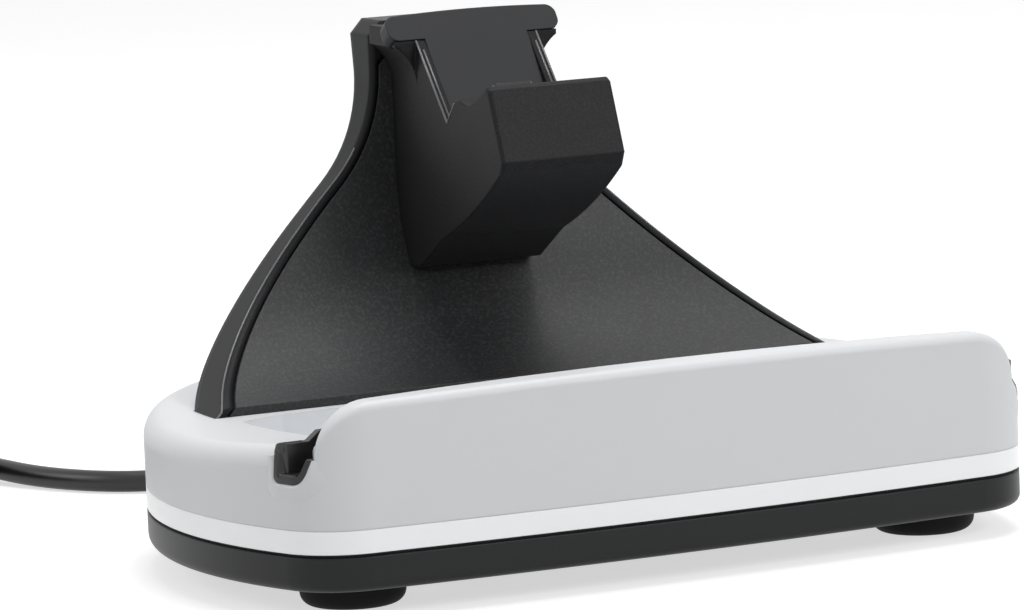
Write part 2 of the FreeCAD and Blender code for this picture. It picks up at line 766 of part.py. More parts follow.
def make_charging_plug():
    tip = plug_reach - seat_drop
    shell = capsule(plug_width, plug_thickness, -seat_drop, tip)
    inner = 2 * plug_shell_wall
    shell = shell.cut(capsule(plug_width - inner, plug_thickness - inner, -seat_drop + plug_shell_wall, tip))
    pieces["charging_plug_shell"] = shell
    core_half = plug_core_thickness / 2
    core = lean_block(plug_core_width / 2, plug_shell_wall - seat_drop, tip - plug_shell_wall,
                      plug_offset - core_half, plug_offset + core_half)
    pieces["charging_plug_core"] = core
    half = holder_thickness / 2
    pieces["plug_holder"] = lean_block(holder_width / 2, -board_drop, -seat_drop, plug_offset - half,
                                       plug_offset + half)
    half = plug_board_size[1] / 2
    pieces["plug_board"] = lean_block(plug_board_size[0] / 2, -board_drop - plug_board_size[2], -board_drop,
                                      plug_offset - half, plug_offset + half)


# Boards, wiring and screws
def make_boards():
    x, y, z = (size / 2 for size in board_size)
    top = board_height + board_size[2]
    board = block(-x, x, board_depth - y, board_depth + y, board_height, top)
    holes = [post(px, py, 0, far, screw_hole) for px, py in board_posts]
    pieces["main_board"] = board.cut(Part.makeCompound(holes))
    step = board_size[0] / (emitter_count + 1)
    emitters = []
    for index in range(emitter_count):
        centre = (index + 1) * step - x
        for edge in (board_depth - y, board_depth + y - emitter_size[1]):
            emitters.append(block(centre - emitter_size[0] / 2, centre + emitter_size[0] / 2, edge,
                                  edge + emitter_size[1], top, top + emitter_size[2]))
    pieces["light_emitters"] = Part.makeCompound(emitters)
    chip_x, chip_y, chip_z = chip_size
    chip_depth = board_depth + chip_place[1]
    parts = [block(chip_place[0] - chip_x / 2, chip_place[0] + chip_x / 2, chip_depth - chip_y / 2,
                   chip_depth + chip_y / 2, top, top + chip_z)]
    parts += [post(place[0], board_depth + place[1], top, top + capacitor_height, capacitor_diameter)
              for place in capacitor_places]
    socket_rear = board_depth + y - 2 * emitter_size[1]
    socket_half = socket_size[0] / 2
    parts.append(block(-socket_half, socket_half, socket_rear - socket_size[1], socket_rear, top,
                       top + socket_size[2]))
    pieces["board_parts"] = Part.makeCompound(parts)


def make_inner_lead():
    half = ribbon_width / 2
    low = board_height + board_size[2] + socket_size[2] / 2
    socket_rear = board_depth + board_size[1] / 2 - 2 * emitter_size[1]
    rise = face_layer(ribbon_front, ribbon_front + ribbon_thickness, rim_width + panel_ledge, low,
                      ribbon_turn_height + ribbon_thickness / 2)
    rise = rise.common(block(-half, half, -far, far, 0, far))
    rear = upright_foot_depth + ribbon_front + ribbon_thickness
    run = block(-half, half, socket_rear, rear, low, low + ribbon_thickness)
    end_n = plug_offset - plug_board_size[1] / 4
    elbow = leaning(-chamber_depth + ribbon_thickness, end_n)
    forward = block(-half, half, elbow[0], upright_face_depth + ribbon_front + ribbon_thickness,
                    ribbon_turn_height - ribbon_thickness / 2, ribbon_turn_height + ribbon_thickness / 2)
    turn_s = (ribbon_turn_height - plate_foot[1] - end_n * math.sin(lean)) / math.cos(lean)
    tail = lean_block(half, turn_s, -board_drop - plug_board_size[2], end_n - ribbon_thickness / 2,
                      end_n + ribbon_thickness / 2)
    forward = forward.common(block(-half, half, leaning(turn_s, end_n)[0], far, 0, far))
    pieces["inner_lead"] = joined([rise, run, forward, tail])


def make_screws():
    up = Vector(0, 0, 1)
    base_reach = screw_end - head_seat - screw_fit
    pieces["base_screws"] = Part.makeCompound([screw(Vector(x, y, head_seat), up, base_reach)
                                               for x, y in base_screws])
    seat = rear_ceiling - flange_thickness
    pieces["stand_screws"] = Part.makeCompound([screw(Vector(x, y, seat), up, stand_screw_reach - screw_fit)
                                                for x, y in stand_screws])
    top = board_height + board_size[2]
    pieces["board_screws"] = Part.makeCompound([screw(Vector(x, y, top), -up, top - cover_floor - screw_fit)
                                                for x, y in board_posts])
    rear = upright_face_depth + panel_thickness
    pieces["cradle_screws"] = Part.makeCompound([
        screw(Vector(x, rear, z), Vector(0, -1, 0), cradle_screw_reach + panel_thickness)
        for x, z in cradle_screws])


# Supply cord
def tube_path(points, diameter):
    """Straight runs joined by tangent arcs as large as the runs allow."""
    path = [Vector(*point) for point in points]
    edges = []
    radii = []
    here = path[0]
    for before, at, after in zip(path, path[1:], path[2:]):
        into = (at - before).normalize()
        out = (after - at).normalize()
        turn = into.getAngle(out)
        radius = bend_share * min((at - before).Length, (after - at).Length) / math.tan(turn / 2)
        setback = radius * math.tan(turn / 2)
        start = at - into * setback
        end = at + out * setback
        inward = (out - into).normalize()
        middle = at + inward * (radius / math.cos(turn / 2) - radius)
        edges.append(Part.LineSegment(here, start).toShape())
        edges.append(Part.Arc(start, middle, end).toShape())
        radii.append(radius)
        here = end
    edges.append(Part.LineSegment(here, path[-1]).toShape())
    wire = Part.Wire(edges)
    start = path[0]
    section = Part.Wire(Part.makeCircle(diameter / 2, start, path[1] - path[0]))
    tube = wire.makePipeShell([section], True, False)
    print("cord radii", [round(radius, 1) for radius in radii], "length", round(wire.Length, 1),
          "volume ratio", round(tube.Volume / (math.pi * diameter ** 2 / 4 * wire.Length), 4))
    return tube


def make_grommet():
    wall_inner = base_depth - cover_wall
    back = Vector(0, 1, 0)
    plate_x, plate_y, plate_z = grommet_plate
    plate_low = cover_floor + liner_clearance
    plate_front = wall_inner - plate_y
    plate = block(cord_exit_x - plate_x / 2, cord_exit_x + plate_x / 2, plate_front, wall_inner, plate_low,
                  plate_low + plate_z)
    neck_radius = grommet_neck_diameter / 2
    inner = Part.makeCylinder(neck_radius, plate_y, Vector(cord_exit_x, plate_front, cord_height), back)
    inner = inner.common(block(-far, far, 0, far, plate_low, far))
    neck = Part.makeCylinder(neck_radius, cover_wall, Vector(cord_exit_x, wall_inner, cord_height), back)
    collar_radius = grommet_collar_diameter / 2
    outer = Vector(cord_exit_x, base_depth, cord_height)
    collar = Part.makeCylinder(collar_radius, grommet_collar, outer, back)
    cone = Part.makeCone(collar_radius, grommet_tip_diameter / 2, grommet_length - grommet_collar,
                         outer + back * grommet_collar, back)
    pieces["cord_grommet"] = joined([plate, inner, neck, collar, cone])


def make_cord():
    lying = cord_diameter / 2
    start = base_depth + grommet_length
    route = [(cord_exit_x, start, cord_height), (cord_exit_x, 126.0, cord_height), (-19.3, 136.0, 6.0),
             (-27.0, 144.5, 3.2), (-38.0, 150.5, lying), (-47.5, 157.5, lying), (-55.0, 171.5, lying),
             (-59.7, 186.5, lying + tie_thickness)]
    coil = make_coil()
    pieces["supply_cord"] = tube_path(route, cord_diameter).cut(coil)
    pieces["cord_coil"] = coil
    side = coil_centre[0] - coil_middle_radius
    outer = coil_middle_radius + coil_width / 2
    grip_rear = coil_centre[1] - outer
    tail = Part.makeCylinder(lying, outer, Vector(side, grip_rear, grip_size[2] / 2), Vector(0, 1, 0))
    pieces["cord_tail"] = tail.cut(coil)
    make_supply_plug(side, grip_rear)


def make_coil():
    centre = Vector(coil_centre[0], coil_centre[1], 0)
    low = tie_thickness
    half = coil_width / 2
    ring = Part.makeCylinder(coil_middle_radius + half, coil_height, centre + Vector(0, 0, low)).cut(
        Part.makeCylinder(coil_middle_radius - half, coil_height, centre + Vector(0, 0, low)))
    ring = ring.makeFillet(coil_edge_radius, [edge for edge in ring.Edges if edge.BoundBox.ZLength < tiny])
    across_y = centre + Vector(0, coil_middle_radius, 0)
    band = block(-tie_width / 2, tie_width / 2, -half - tie_thickness, half + tie_thickness, 0,
                 coil_height + 2 * tie_thickness)
    band.translate(across_y)
    pieces["cord_tie"] = band.cut(ring)
    return ring


def make_supply_plug(x, rear):
    width, length, height = grip_size
    grip = block(x - width / 2, x + width / 2, rear - length, rear, 0, height)
    grip = grip.makeFillet(grip_edge_radius, grip.Edges)
    pieces["supply_plug_grip"] = grip
    shell_w, shell_l, shell_h = plug_shell_size
    front = rear - length
    middle = height / 2
    half = shell_w / 2
    low = middle - shell_h / 2
    high = middle + shell_h / 2
    tip = front - shell_l
    wall = supply_shell_wall
    inner = half - wall
    shell = block(x - half, x + half, tip, front, low, high)
    hollow = block(x - inner, x + inner, tip, front - wall, low + wall, high - wall)
    pieces["supply_plug_shell"] = shell.cut(hollow)
    top = high - wall
    pieces["supply_plug_tongue"] = block(x - inner, x + inner, tip + wall, front - wall,
                                         top - supply_tongue_thickness, top)


for make in (make_feet, make_bottom_cover, make_light_ring, make_base_shell, make_channel_liner,
             make_front_panel, make_rear_cover, make_cradle_body, make_backrest_plate, make_charging_plug,
             make_boards, make_inner_lead, make_screws, make_grommet, make_cord):
    make()

shift = Vector(0, -overall_depth / 2, 0)
for name, shape in pieces.items():
    shape.translate(shift)
    shape.exportStep("parts/" + name + ".step")
    print(name, len(shape.Solids), round(shape.Volume, 1), shape.isValid())
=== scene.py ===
import json
import math

import bmesh
import bpy
from mathutils import Matrix, Vector
from mathutils.bvhtree import BVHTree


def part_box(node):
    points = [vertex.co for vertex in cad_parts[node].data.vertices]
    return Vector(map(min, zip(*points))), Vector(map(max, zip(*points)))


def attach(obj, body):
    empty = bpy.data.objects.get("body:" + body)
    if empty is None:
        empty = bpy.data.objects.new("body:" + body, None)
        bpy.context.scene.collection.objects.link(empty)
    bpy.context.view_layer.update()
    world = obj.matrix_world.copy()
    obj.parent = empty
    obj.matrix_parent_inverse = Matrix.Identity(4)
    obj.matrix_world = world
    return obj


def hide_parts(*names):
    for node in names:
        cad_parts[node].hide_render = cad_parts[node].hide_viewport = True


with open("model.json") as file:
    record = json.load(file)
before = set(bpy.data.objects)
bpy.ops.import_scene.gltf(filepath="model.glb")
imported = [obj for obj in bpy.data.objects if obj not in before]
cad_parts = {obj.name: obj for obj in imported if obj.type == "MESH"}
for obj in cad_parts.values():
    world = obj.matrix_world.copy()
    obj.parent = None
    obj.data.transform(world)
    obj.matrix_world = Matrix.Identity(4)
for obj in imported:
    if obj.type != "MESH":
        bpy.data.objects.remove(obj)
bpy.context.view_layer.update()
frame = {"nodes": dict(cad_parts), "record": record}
nodes = frame["nodes"]
record = frame["record"]
mm = 0.001
baseLow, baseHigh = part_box("base_shell")
frontFace = baseLow.y    # depths run back from here
sharpTurn = math.radians(38)    # edges that turn more than this stay crisp
print("frame loaded:", len(nodes), "nodes")


# Small helpers
def link(piece):
    bpy.context.scene.collection.objects.link(piece)
    return piece


def plainMesh(name, bm):
    mesh = bpy.data.meshes.new(name)
    bm.to_mesh(mesh)
    bm.free()
    return link(bpy.data.objects.new(name, mesh))


def newMesh(name, bm, smooth=True):
    bmesh.ops.recalc_face_normals(bm, faces=bm.faces)
    piece = plainMesh(name, bm)
    for face in piece.data.polygons:
        face.use_smooth = smooth
    piece.data.set_sharp_from_angle(angle=sharpTurn)
    return piece


def settle(piece):    # modifiers become a plain mesh
    graph = bpy.context.evaluated_depsgraph_get()
    mesh = bpy.data.meshes.new_from_object(piece.evaluated_get(graph), depsgraph=graph)
    piece.modifiers.clear()
    piece.data = mesh
    return piece


def seat(piece, slotName, *replaced):
    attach(piece, "root")
    if replaced:
        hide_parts(*replaced)
    return piece


def inFrame(point):    # millimetres, with depth from the front face, to the row frame
    return Vector((point[0] * mm, point[1] * mm + frontFace, point[2] * mm))


def surfaceOf(node):    # a CAD node's surface, for finding places on it
    mesh = nodes[node].data
    return BVHTree.FromPolygons([corner.co for corner in mesh.vertices],
                                [face.vertices for face in mesh.polygons])


def loftInto(bm, sections, closed=False):    # skins a run of loops that have equal counts
    rings = [[bm.verts.new(point) for point in section] for section in sections]
    count = len(rings[0])
    joins = list(zip(rings, rings[1:]))
    if closed:
        joins.append((rings[-1], rings[0]))
    else:
        bm.faces.new(rings[0])
        bm.faces.new(rings[-1])
    for near, far in joins:
        for i in range(count):
            j = (i + 1) % count
            bm.faces.new((near[i], near[j], far[j], far[i]))


def loft(name, sections):
    bm = bmesh.new()
    loftInto(bm, sections)
    return newMesh(name, bm)


def roundedLoop(width, height, radius, steps):    # round a rectangle with rounded corners
    points = []
    for quarter, (side, end) in enumerate(((1, 1), (-1, 1), (-1, -1), (1, -1))):
        for i in range(steps + 1):
            a = math.radians(90 * (quarter + i / steps))
            points.append((side * (width / 2 - radius) + radius * math.cos(a),
                           end * (height / 2 - radius) + radius * math.sin(a)))
    return points


def paint(piece, finish):
    piece.data.materials.clear()
    piece.data.materials.append(finish)
    return piece


# Camera at the photograph's angle
cameraView = {
    "place": (-0.4724, -0.9095, 0.18743),    # its depth counts from the front face
    "right": (0.89724, -0.43958, -0.04161),
    "up": (0.09581, 0.10182, 0.99018),
    "lens": 210.94,
    "sensor": 36.0,
    "farthest": 20.0,
}


def makeCamera():
    data = bpy.data.cameras.new("camera")
    data.lens = cameraView["lens"]
    data.sensor_width = cameraView["sensor"]
    data.clip_end = cameraView["farthest"]
    camera = link(bpy.data.objects.new("camera", data))
    right = Vector(cameraView["right"]).normalized()
    back = right.cross(Vector(cameraView["up"])).normalized()
    up = back.cross(right)
    turn = Matrix((right, up, back)).transposed()
    place = Vector(cameraView["place"]) + Vector((0, frontFace, 0))
    camera.matrix_world = Matrix.Translation(place) @ turn.to_4x4()
    bpy.context.scene.camera = camera


makeCamera()
print("camera placed")


# Shader groups shared by several finishes
grain = {
    "fineDetail": 2.0,
    "slowDetail": 3.0,
    "paintedGlints": (0.45, 0.75),    # the grain heights at which the painted glints start and are full
}
lineDetail = 2.0


def shaderGroup(name, inputs, outputs):
    group = bpy.data.node_groups.new(name, "ShaderNodeTree")
    for label, kind, value in inputs:
        made = group.interface.new_socket(label, in_out="INPUT", socket_type=kind)
        if value is not None:
            made.default_value = value
    for label, kind in outputs:
        group.interface.new_socket(label, in_out="OUTPUT", socket_type=kind)
    return group, group.nodes.new("NodeGroupInput"), group.nodes.new("NodeGroupOutput")


def noise(tree, vector, scaleFrom, detail):
    node = tree.nodes.new("ShaderNodeTexNoise")
    node.inputs["Detail"].default_value = detail
    tree.links.new(vector, node.inputs["Vector"])
    tree.links.new(scaleFrom, node.inputs["Scale"])
    return node.outputs["Fac"]


def makeGrain():    # spark-eroded mould texture, with slow changes of tone and glints painted on the grain's tops
    group, given, out = shaderGroup(
        "mouldGrain",
        [("Vector", "NodeSocketVector", None), ("Grain Scale", "NodeSocketFloat", 2400.0),
         ("Tone Scale", "NodeSocketFloat", 60.0)],
        [("Height", "NodeSocketFloat"), ("Tone", "NodeSocketFloat"),
         ("Painted Glints", "NodeSocketFloat")])
    fine = noise(group, given.outputs["Vector"], given.outputs["Grain Scale"], grain["fineDetail"])
    slow = noise(group, given.outputs["Vector"], given.outputs["Tone Scale"], grain["slowDetail"])
    paintedGlints = group.nodes.new("ShaderNodeMapRange")    # painted glints: the tops of the grain are made lighter in colour, as highlights
    for end, height in zip(("From Min", "From Max"), grain["paintedGlints"]):
        paintedGlints.inputs[end].default_value = height
    group.links.new(fine, paintedGlints.inputs["Value"])
    group.links.new(fine, out.inputs["Height"])
    group.links.new(slow, out.inputs["Tone"])
    group.links.new(paintedGlints.outputs["Result"], out.inputs["Painted Glints"])
    return group


def makeDrawnLines():    # fine lines along one direction, as drawn or turned metal has
    group, given, out = shaderGroup(
        "drawnLines",
        [("Vector", "NodeSocketVector", None), ("Stretch", "NodeSocketVector", (1.0, 0.04, 1.0)),
         ("Line Scale", "NodeSocketFloat", 3000.0)],
        [("Height", "NodeSocketFloat"), ("Streak", "NodeSocketFloat")])
    stretch = group.nodes.new("ShaderNodeVectorMath")
    stretch.operation = "MULTIPLY"
    group.links.new(given.outputs["Vector"], stretch.inputs[0])
    group.links.new(given.outputs["Stretch"], stretch.inputs[1])
    lines = noise(group, stretch.outputs[0], given.outputs["Line Scale"], lineDetail)
    group.links.new(lines, out.inputs["Height"])
    group.links.new(lines, out.inputs["Streak"])
    return group


grainGroup = makeGrain()
linesGroup = makeDrawnLines()


# Finishes, one for each material slot of the record, and a light grey one for edge beads, whose
# colour paints highlight lines
relief = {
    "grainDepth": 0.05 * mm,
    "lineDepth": 0.02 * mm,
    "plasticEdge": 0.3,    # millimetres that an edge is broken by, where its finish gives none
    "metalEdge": 0.1,
    "edgeSamples": 6,
}


def startFinish(name, group, look):
    material = bpy.data.materials.new(name)
    material.use_nodes = True
    tree = material.node_tree
    shader = tree.nodes["Principled BSDF"]
    place = tree.nodes.new("ShaderNodeTexCoord")
    pattern = tree.nodes.new("ShaderNodeGroup")
    pattern.node_tree = group
    tree.links.new(place.outputs["Object"], pattern.inputs["Vector"])
    shader.inputs["Specular IOR Level"].default_value = look["specular"]
    return material, tree, shader, pattern


def mathNode(tree, operation, first, second):    # the second is a number or a socket
    node = tree.nodes.new("ShaderNodeMath")
    node.operation = operation
    tree.links.new(first, node.inputs[0])
    if isinstance(second, float):
        node.inputs[1].default_value = second
    else:
        tree.links.new(second, node.inputs[1])
    return node.outputs[0]


def mixColours(tree, factor, dark, light):    # a colour here is three numbers or a socket
    mix = tree.nodes.new("ShaderNodeMix")
    mix.data_type = "RGBA"
    colourInputs = [socket for socket in mix.inputs if socket.type == "RGBA"]
    for socket, colour in zip(colourInputs, (dark, light)):
        if isinstance(colour, tuple):
            socket.default_value = (*colour, 1)
        else:
            tree.links.new(colour, socket)
    tree.links.new(factor, mix.inputs["Factor"])
    return next(socket for socket in mix.outputs if socket.type == "RGBA")


def spread(tree, factor, low, high):
    ramp = tree.nodes.new("ShaderNodeMapRange")
    ramp.inputs["To Min"].default_value = low
    ramp.inputs["To Max"].default_value = high
    tree.links.new(factor, ramp.inputs["Value"])
    return ramp.outputs["Result"]


def addBump(tree, shader, height, strength, depth, edge):
    bump = tree.nodes.new("ShaderNodeBump")
    corner = tree.nodes.new("ShaderNodeBevel")    # broken edges
    corner.samples = relief["edgeSamples"]
    corner.inputs["Radius"].default_value = edge * mm
    tree.links.new(corner.outputs["Normal"], bump.inputs["Normal"])
    bump.inputs["Strength"].default_value = strength
    bump.inputs["Distance"].default_value = depth
    tree.links.new(height, bump.inputs["Height"])
    tree.links.new(bump.outputs["Normal"], shader.inputs["Normal"])


def moulded(name, look):    # moulded plastic or rubber
    material, tree, shader, pattern = startFinish(name, grainGroup, look)
    pattern.inputs["Grain Scale"].default_value = look["grain"]
    pattern.inputs["Tone Scale"].default_value = look["tone"]
    colour = mixColours(tree, pattern.outputs["Tone"], look["dark"], look["light"])
    # painted highlight: the grain's tops get the lighter glint colour
    if "paintedGlint" in look:
        colour = mixColours(tree, pattern.outputs["Painted Glints"], colour, look["paintedGlint"])
    tree.links.new(colour, shader.inputs["Base Color"])
    rough = spread(tree, pattern.outputs["Tone"], *look["rough"])
    tree.links.new(rough, shader.inputs["Roughness"])
    addBump(tree, shader, pattern.outputs["Height"], look["bump"], relief["grainDepth"],
            look.get("edge", relief["plasticEdge"]))
    shader.inputs["Emission Color"].default_value = (1, 1, 1, 1)
    shader.inputs["Emission Strength"].default_value = look.get("glow", 0.0)
    return material


def metal(name, look):    # drawn or turned metal
    material, tree, shader, pattern = startFinish(name, linesGroup, look)
    pattern.inputs["Stretch"].default_value = look["stretch"]
    colour = mixColours(tree, pattern.outputs["Streak"], look["dark"], look["light"])
    tree.links.new(colour, shader.inputs["Base Color"])
    rough = spread(tree, pattern.outputs["Streak"], *look["rough"])
    tree.links.new(rough, shader.inputs["Roughness"])
    addBump(tree, shader, pattern.outputs["Height"], look["bump"], relief["lineDepth"],
            relief["metalEdge"])
    shader.inputs["Metallic"].default_value = 1.0
    return material


# paintedGlint: a lighter colour painted on the grain's tops as highlights
plasticLooks = {
    "white_shell": {
        "dark": (0.71, 0.725, 0.745), "light": (0.74, 0.755, 0.775), "rough": (0.38, 0.46),
        "specular": 0.4, "grain": 3200, "tone": 40, "bump": 0.1, "edge": 0.6,
    },
    "light_diffuser": {
        "dark": (0.85, 0.86, 0.87), "light": (0.88, 0.89, 0.90), "rough": (0.28, 0.34),
        "specular": 0.3, "grain": 1500, "tone": 60, "bump": 0.02, "glow": 0.13,
    },
    "black_pan": {
        "dark": (0.006, 0.0065, 0.007), "light": (0.010, 0.0105, 0.0115), "rough": (0.36, 0.44),
        "specular": 0.26, "grain": 2600, "tone": 50, "bump": 0.15, "edge": 0.4,
    },
    "black_liner": {
        "dark": (0.012, 0.012, 0.0115), "light": (0.02, 0.02, 0.0195), "rough": (0.28, 0.36),
        "specular": 0.4, "grain": 2600, "tone": 50, "bump": 0.1,
    },
    "black_panel": {
        "dark": (0.009, 0.0095, 0.0105), "light": (0.013, 0.0135, 0.0145), "rough": (0.46, 0.56),
        "specular": 0.4, "grain": 1700, "tone": 70, "bump": 0.9, "paintedGlint": (0.036, 0.037, 0.039),
    },
    "black_rim": {
        "dark": (0.011, 0.0115, 0.0125), "light": (0.016, 0.0165, 0.018), "rough": (0.34, 0.42),
        "specular": 0.1, "grain": 2400, "tone": 60, "bump": 0.25, "edge": 1.3,
    },
    "black_cradle": {
        "dark": (0.009, 0.009, 0.010), "light": (0.013, 0.013, 0.014), "rough": (0.44, 0.52),
        "specular": 0.13, "grain": 2600, "tone": 70, "bump": 0.3, "edge": 0.6,
        "paintedGlint": (0.022, 0.0225, 0.024),
    },
    # edge beads in light grey: painted highlight lines
    "painted_highlight_edge": {
        "dark": (0.09, 0.09, 0.095), "light": (0.13, 0.13, 0.135), "rough": (0.16, 0.22),
        "specular": 0.6, "grain": 2400, "tone": 200, "bump": 0.05,
    },
    "grey_backrest": {
        "dark": (0.012, 0.0125, 0.014), "light": (0.017, 0.0175, 0.0195), "rough": (0.44, 0.52),
        "specular": 0.3, "grain": 2400, "tone": 70, "bump": 0.3, "edge": 0.4,
    },
    "plug_insulator": {
        "dark": (0.012, 0.012, 0.012), "light": (0.02, 0.02, 0.02), "rough": (0.36, 0.46),
        "specular": 0.4, "grain": 3000, "tone": 200, "bump": 0.1,
    },
    "circuit_board": {
        "dark": (0.012, 0.07, 0.035), "light": (0.02, 0.11, 0.055), "rough": (0.3, 0.42),
        "specular": 0.5, "grain": 900, "tone": 260, "bump": 0.2,
    },
    "board_components": {
        "dark": (0.014, 0.014, 0.015), "light": (0.03, 0.03, 0.031), "rough": (0.4, 0.55),
        "specular": 0.4, "grain": 2600, "tone": 160, "bump": 0.2,
    },
    "light_emitter": {
        "dark": (0.78, 0.76, 0.60), "light": (0.88, 0.87, 0.74), "rough": (0.3, 0.4),
        "specular": 0.5, "grain": 2000, "tone": 400, "bump": 0.1,
    },
    "cord_jacket": {
        "dark": (0.008, 0.008, 0.0085), "light": (0.013, 0.013, 0.014), "rough": (0.30, 0.38),
        "specular": 0.5, "grain": 2600, "tone": 120, "bump": 0.12,
    },
    "foot_rubber": {
        "dark": (0.003, 0.003, 0.003), "light": (0.006, 0.006, 0.006), "rough": (0.62, 0.74),
        "specular": 0.2, "grain": 1600, "tone": 150, "bump": 0.3,
    },
    "cord_tie": {
        "dark": (0.008, 0.008, 0.008), "light": (0.03, 0.03, 0.03), "rough": (0.75, 0.9),
        "specular": 0.2, "grain": 1400, "tone": 900, "bump": 0.8,
    },
}
metalLooks = {
    "plug_steel": {    # black nickel
        "dark": (0.04, 0.04, 0.043), "light": (0.07, 0.07, 0.073), "rough": (0.24, 0.36),
        "specular": 0.5, "stretch": (1.0, 0.06, 0.06), "bump": 0.1,
    },
    "screw_steel": {
        "dark": (0.40, 0.40, 0.41), "light": (0.58, 0.58, 0.59), "rough": (0.28, 0.42),
        "specular": 0.5, "stretch": (1.0, 1.0, 0.05), "bump": 0.15,
    },
}
finishes = {name: moulded(name, look) for name, look in plasticLooks.items()}
finishes.update({name: metal(name, look) for name, look in metalLooks.items()})
for part in record["subparts"]:
    paint(nodes[part["node"]], finishes[part["material_slot"]])
print("finishes set:", len(finishes))


# Geometry Nodes: a row of bars, for ribs and contacts, a set of screws, and beads along edges
def startTree(name, inputs):
    tree = bpy.data.node_groups.new(name, "GeometryNodeTree")
    tree.is_modifier = True
    for label, kind in inputs:
        tree.interface.new_socket(label, in_out="INPUT", socket_type="NodeSocket" + kind)
    tree.interface.new_socket("Geometry", in_out="OUTPUT", socket_type="NodeSocketGeometry")
    return tree, tree.nodes.new("NodeGroupInput").outputs


def endTree(tree, geometry, finish):
    real = tree.nodes.new("GeometryNodeRealizeInstances")
    painted = tree.nodes.new("GeometryNodeSetMaterial")
    out = tree.nodes.new("NodeGroupOutput")
    tree.links.new(geometry, real.inputs["Geometry"])
    tree.links.new(real.outputs["Geometry"], painted.inputs["Geometry"])
    tree.links.new(finish, painted.inputs["Material"])
    tree.links.new(painted.outputs["Geometry"], out.inputs["Geometry"])


def wire(tree, kind, **sockets):    # a node with its inputs linked or set
    node = tree.nodes.new(kind)
    for label, value in sockets.items():
        socket = node.inputs[label.replace("_", " ")]
        if isinstance(value, bpy.types.NodeSocket):
            tree.links.new(value, socket)
        else:
            socket.default_value = value
    return node


def makeBarRow():
    tree, given = startTree("barRow", (
        ("Count", "Int"), ("Start", "Vector"), ("Step", "Vector"), ("Size", "Vector"),
        ("Turn", "Vector"), ("Material", "Material")))
    line = wire(tree, "GeometryNodeMeshLine", Count=given["Count"], Start_Location=given["Start"],
                Offset=given["Step"])
    bar = wire(tree, "GeometryNodeMeshCube", Size=given["Size"])
    row = wire(tree, "GeometryNodeInstanceOnPoints", Points=line.outputs["Mesh"],
               Instance=bar.outputs["Mesh"], Rotation=given["Turn"])
    endTree(tree, row.outputs["Instances"], given["Material"])
    return tree


def lifted(tree, mesh, height):
    move = tree.nodes.new("ShaderNodeCombineXYZ")
    tree.links.new(height, move.inputs["Z"])
    moved = wire(tree, "GeometryNodeTransform", Geometry=mesh, Translation=move.outputs[0])
    return moved.outputs["Geometry"]


def makeScrewSet():
    tree, given = startTree("screwSet", (
        ("Geometry", "Geometry"), ("Head Radius", "Float"), ("Head Height", "Float"),
        ("Shank Radius", "Float"), ("Length", "Float"), ("Slot", "Vector"),
        ("Cross Slot", "Vector"), ("Seed", "Int"), ("Material", "Material")))
    head = wire(tree, "GeometryNodeMeshCylinder", Vertices=36, Radius=given["Head Radius"],
                Depth=given["Head Height"])
    head = lifted(tree, head.outputs["Mesh"], mathNode(tree, "MULTIPLY", given["Head Height"], 0.5))
    cut = tree.nodes.new("GeometryNodeMeshBoolean")
    cut.operation = "DIFFERENCE"
    tree.links.new(head, cut.inputs["Mesh 1"])
    for slot in ("Slot", "Cross Slot"):
        bar = wire(tree, "GeometryNodeMeshCube", Size=given[slot])
        tree.links.new(bar.outputs["Mesh"], cut.inputs["Mesh 2"])
    shank = wire(tree, "GeometryNodeMeshCylinder", Vertices=24, Radius=given["Shank Radius"],
                 Depth=given["Length"])
    joined = tree.nodes.new("GeometryNodeJoinGeometry")
    reach = mathNode(tree, "MULTIPLY", given["Length"], 0.5)
    reach = mathNode(tree, "ADD", reach, given["Head Height"])
    tree.links.new(lifted(tree, shank.outputs["Mesh"], reach), joined.inputs["Geometry"])
    tree.links.new(cut.outputs["Mesh"], joined.inputs["Geometry"])
    turn = tree.nodes.new("FunctionNodeRandomValue")
    turn.data_type = "FLOAT_VECTOR"
    turn.inputs["Min"].default_value = (0, 0, 0)
    turn.inputs["Max"].default_value = (0, 0, math.tau)
    tree.links.new(given["Seed"], turn.inputs["Seed"])
    placed = wire(tree, "GeometryNodeInstanceOnPoints", Points=given["Geometry"],
                  Instance=joined.outputs["Geometry"], Rotation=turn.outputs["Value"])
    endTree(tree, placed.outputs["Instances"], given["Material"])
    return tree


def makeEdgeBead():
    tree, given = startTree("edgeBead", (
        ("Geometry", "Geometry"), ("Radius", "Float"), ("Sides", "Int"), ("Material", "Material")))
    run = wire(tree, "GeometryNodeMeshToCurve", Mesh=given["Geometry"])
    ring = wire(tree, "GeometryNodeCurvePrimitiveCircle", Resolution=given["Sides"],
                Radius=given["Radius"])
    bead = wire(tree, "GeometryNodeCurveToMesh", Curve=run.outputs["Curve"],
                Profile_Curve=ring.outputs["Curve"], Fill_Caps=True)
    endTree(tree, bead.outputs["Mesh"], given["Material"])
    return tree


def grow(piece, tree, values, edge=0.0):    # runs a tree on a piece and keeps the plain mesh
    modifier = piece.modifiers.new(tree.name, "NODES")
    modifier.node_group = tree
    for item in tree.interface.items_tree:
        if item.in_out == "INPUT" and item.name in values:
            modifier[item.identifier] = values[item.name]
    if edge:
        bevel = piece.modifiers.new("edge", "BEVEL")
        bevel.width = edge
        bevel.segments = 2
    return settle(piece)


def barRow(name, values, edge):
    return grow(plainMesh(name, bmesh.new()), barRowTree, values, edge)


barRowTree = makeBarRow()
screwSetTree = makeScrewSet()
edgeBeadTree = makeEdgeBead()


